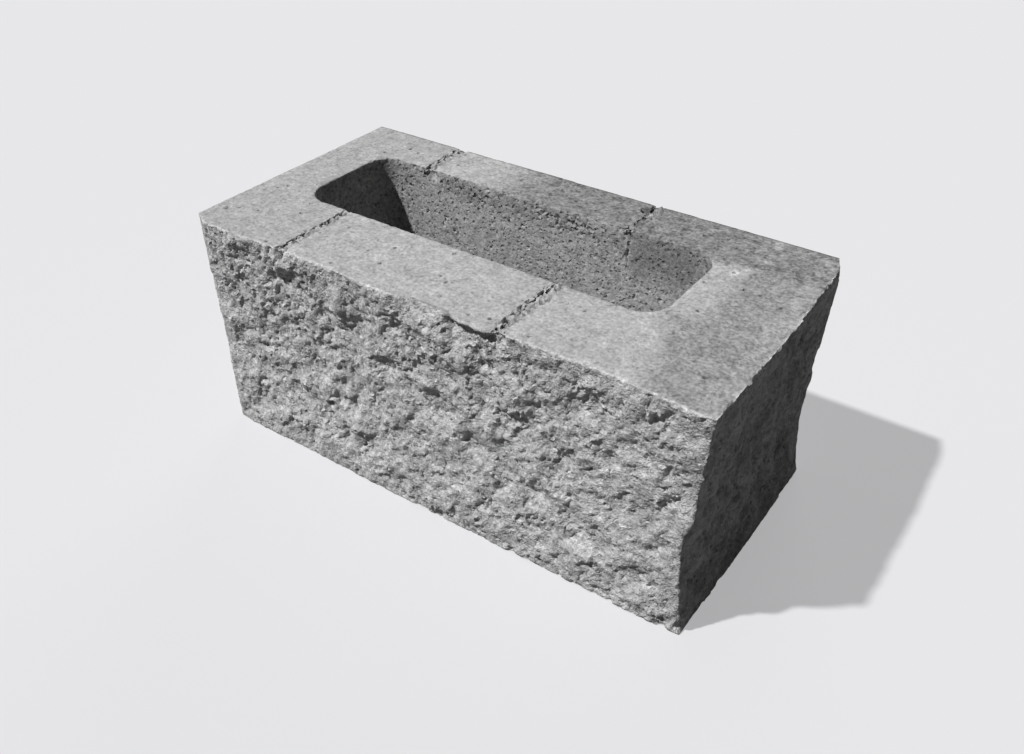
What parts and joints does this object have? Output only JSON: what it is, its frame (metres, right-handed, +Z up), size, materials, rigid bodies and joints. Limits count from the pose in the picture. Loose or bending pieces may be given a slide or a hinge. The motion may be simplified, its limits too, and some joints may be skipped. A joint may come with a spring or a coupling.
{
  "type": "retaining wall block",
  "caption": "Hollow concrete corner block for dry-stacked retaining walls: split front and split end, flat back, bed and top, and a long core that runs from top to bed.",
  "frame": {"origin": "middle of the base", "axes": "+X along the wall to the split end, +Y to the flat back, +Z up"},
  "size_m": [0.4434, 0.2219, 0.2],
  "materials": {
    "dry_cast_concrete": "light grey dry-cast concrete: matt, sandy moulded faces, and coarse broken faces that show the stone in it"
  },
  "bodies": {
    "root": {"retaining_wall_block": "dry_cast_concrete"}
  },
  "joints": []
}
